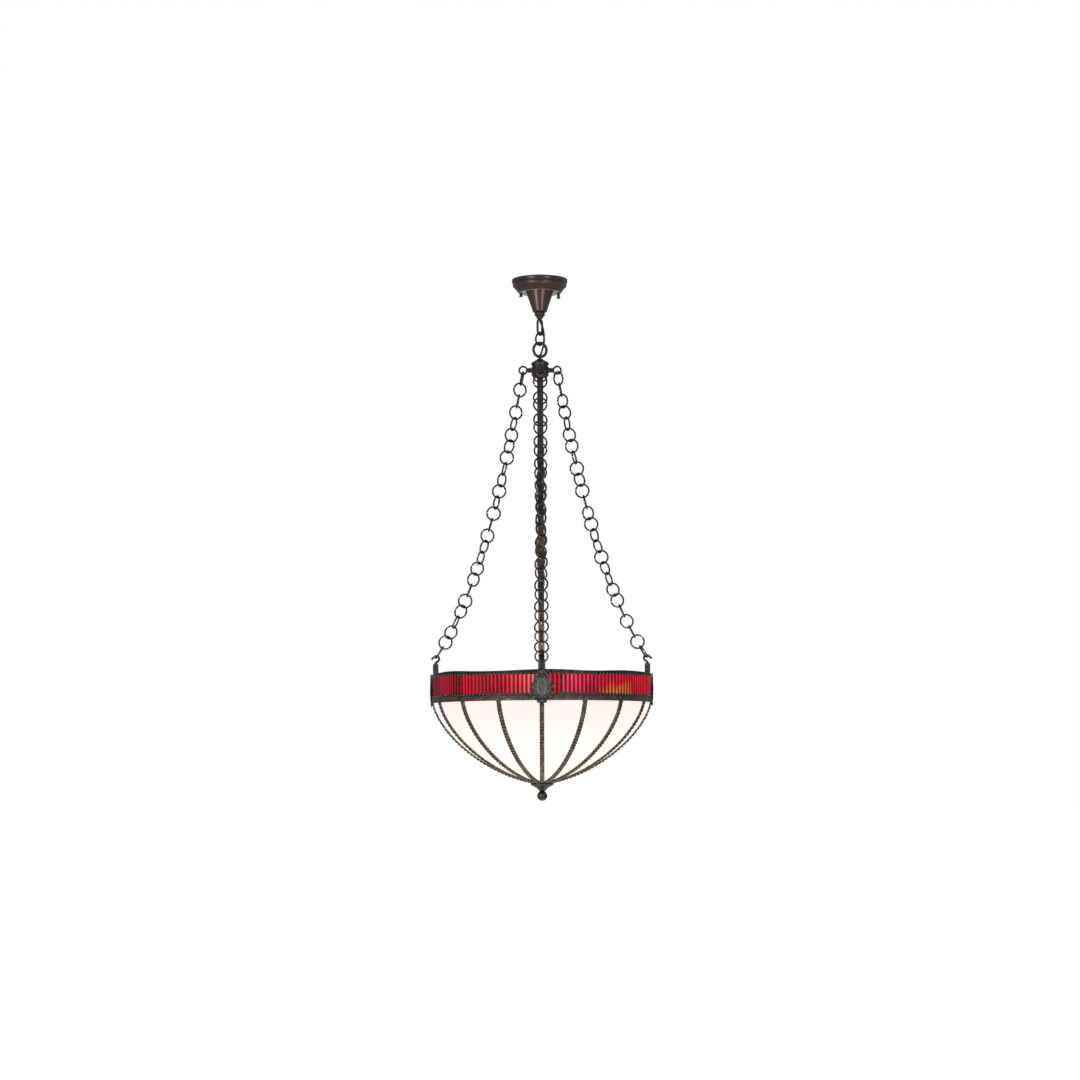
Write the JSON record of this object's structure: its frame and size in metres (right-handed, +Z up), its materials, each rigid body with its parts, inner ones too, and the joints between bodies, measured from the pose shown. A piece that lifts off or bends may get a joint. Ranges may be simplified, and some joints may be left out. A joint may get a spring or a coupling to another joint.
{
  "type": "sanctuary lamp",
  "caption": "Inverted glass bowl pendant with a reeded red band, beaded ribs and shield medallions, hung by round-link chains from a hub, linked to a stepped ceiling canopy.",
  "frame": {"origin": "the ceiling plane on the lamp's axis", "axes": "+Z up, -Y the front of the lamp, +X its right side"},
  "size_m": [0.5122, 0.5122, 1.192],
  "materials": {
    "mahogany_bronze": "streaky red-brown bronze patina, satin",
    "dark_bronze": "dark oil-rubbed bronze, satin",
    "rail_patina": "dark green-black patina over solder and brass",
    "came_brass": "aged brown brass with beaded edges",
    "zinc_steel": "zinc-plated steel",
    "red_glass": "reeded ruby glass, lit from behind",
    "opal_glass": "cream-white opal glass, lit from behind",
    "bulb_glass": "frosted white, lit",
    "porcelain": "glazed white",
    "brown_cord": "brown flexible insulation, satin"
  },
  "bodies": {
    "fixing": {"crossbar": "zinc_steel", "canopy": "mahogany_bronze", "canopy_cone": "mahogany_bronze", "screw_collar": "dark_bronze", "nipple_loop": "dark_bronze", "canopy_stud_left": "zinc_steel", "canopy_stud_right": "zinc_steel", "supply_cord_upper": "brown_cord"},
    "nut_left": {"thumb_nut_left": "dark_bronze"},
    "nut_right": {"thumb_nut_right": "dark_bronze"},
    "link": {"oval_link": "dark_bronze"},
    "ring": {"hanging_ring": "dark_bronze"},
    "hub": {"hub_eye": "dark_bronze", "hub_body": "dark_bronze", "arm_eye_front": "dark_bronze", "arm_eye_right": "dark_bronze", "arm_eye_back": "dark_bronze", "arm_eye_left": "dark_bronze", "supply_cord_lower": "brown_cord"},
    "bowl": {"hook_front": "dark_bronze", "hook_right": "dark_bronze", "hook_back": "dark_bronze", "hook_left": "dark_bronze", "top_rail": "rail_patina", "bottom_rail": "rail_patina", "band_glass_1": "red_glass", "band_glass_2": "red_glass", "band_glass_3": "red_glass", "band_glass_4": "red_glass", "band_glass_5": "red_glass", "band_glass_6": "red_glass", "band_glass_7": "red_glass", "band_glass_8": "red_glass", "medallion_front": "rail_patina", "medallion_right": "rail_patina", "medallion_back": "rail_patina", "medallion_left": "rail_patina", "rib_frame": "came_brass", "bowl_glass_1": "opal_glass", "bowl_glass_2": "opal_glass", "bowl_glass_3": "opal_glass", "bowl_glass_4": "opal_glass", "bowl_glass_5": "opal_glass", "bowl_glass_6": "opal_glass", "bowl_glass_7": "opal_glass", "bowl_glass_8": "opal_glass", "bottom_cap": "came_brass", "socket_cluster": "dark_bronze", "socket_1": "porcelain", "socket_2": "porcelain", "socket_3": "porcelain"},
    "finial_turn": {"finial": "dark_bronze"},
    "hanger_front": {"chain_front": "dark_bronze"},
    "hanger_right": {"chain_right": "dark_bronze"},
    "hanger_back": {"chain_back": "dark_bronze"},
    "hanger_left": {"chain_left": "dark_bronze"},
    "lamp_1": {"bulb_1": "bulb_glass"},
    "lamp_2": {"bulb_2": "bulb_glass"},
    "lamp_3": {"bulb_3": "bulb_glass"}
  },
  "joints": [
    {"name": "nut_left_turn", "type": "hinge", "parent": "fixing", "child": "nut_left", "pos_m": [-0.0429, 0, -0.036], "axis": [0, 0, 1], "continuous": true},
    {"name": "nut_right_turn", "type": "hinge", "parent": "fixing", "child": "nut_right", "pos_m": [0.0429, 0, -0.04], "axis": [0, 0, 1], "continuous": true},
    {"name": "link_swing", "type": "hinge", "parent": "fixing", "child": "link", "pos_m": [0, 0, -0.1257], "axis": [0.5, 0.866, 0], "range_deg": [-20, 20], "deforming": ["supply_cord_upper"]},
    {"name": "ring_swing", "type": "hinge", "parent": "link", "child": "ring", "pos_m": [0, 0, -0.14985], "axis": [0.866, -0.5, 0], "range_deg": [-20, 20], "deforming": ["supply_cord_upper"]},
    {"name": "hub_swing", "type": "hinge", "parent": "ring", "child": "hub", "pos_m": [0, 0, -0.1765], "axis": [0.9205, 0.3907, 0], "range_deg": [-20, 20], "deforming": ["supply_cord_upper"]},
    {"name": "bowl_twist", "type": "hinge", "parent": "hub", "child": "bowl", "pos_m": [0, 0, -0.224], "axis": [0, 0, 1], "range_deg": [-4, 4], "deforming": ["supply_cord_lower"]},
    {"name": "hanger_front_lean", "type": "hinge", "parent": "hub", "child": "hanger_front", "pos_m": [0, -0.0389, -0.2158], "axis": [0, -1, 0], "range_deg": [-1.5, 1.5]},
    {"name": "hanger_right_lean", "type": "hinge", "parent": "hub", "child": "hanger_right", "pos_m": [0.0389, 0, -0.2158], "axis": [1, 0, 0], "range_deg": [-1.5, 1.5]},
    {"name": "hanger_back_lean", "type": "hinge", "parent": "hub", "child": "hanger_back", "pos_m": [0, 0.0389, -0.2158], "axis": [0, 1, 0], "range_deg": [-1.5, 1.5]},
    {"name": "hanger_left_lean", "type": "hinge", "parent": "hub", "child": "hanger_left", "pos_m": [-0.0389, 0, -0.2158], "axis": [-1, 0, 0], "range_deg": [-1.5, 1.5]},
    {"name": "finial_unscrew", "type": "hinge", "parent": "bowl", "child": "finial_turn", "pos_m": [0, 0, -1.1805], "axis": [0, 0, 1], "continuous": true},
    {"name": "lamp_1_unscrew", "type": "hinge", "parent": "bowl", "child": "lamp_1", "pos_m": [0, -0.03, -1.108], "axis": [0, -0.9063, 0.4226], "continuous": true},
    {"name": "lamp_2_unscrew", "type": "hinge", "parent": "bowl", "child": "lamp_2", "pos_m": [0.02598, 0.015, -1.108], "axis": [0.7849, 0.4532, 0.4226], "continuous": true},
    {"name": "lamp_3_unscrew", "type": "hinge", "parent": "bowl", "child": "lamp_3", "pos_m": [-0.02598, 0.015, -1.108], "axis": [-0.7849, 0.4532, 0.4226], "continuous": true}
  ],
  "couplings": [
    {"joint": "hanger_front_lean", "follows": "bowl_twist", "ratio": 0.3682},
    {"joint": "hanger_right_lean", "follows": "bowl_twist", "ratio": 0.3682},
    {"joint": "hanger_back_lean", "follows": "bowl_twist", "ratio": 0.3682},
    {"joint": "hanger_left_lean", "follows": "bowl_twist", "ratio": 0.3682}
  ]
}
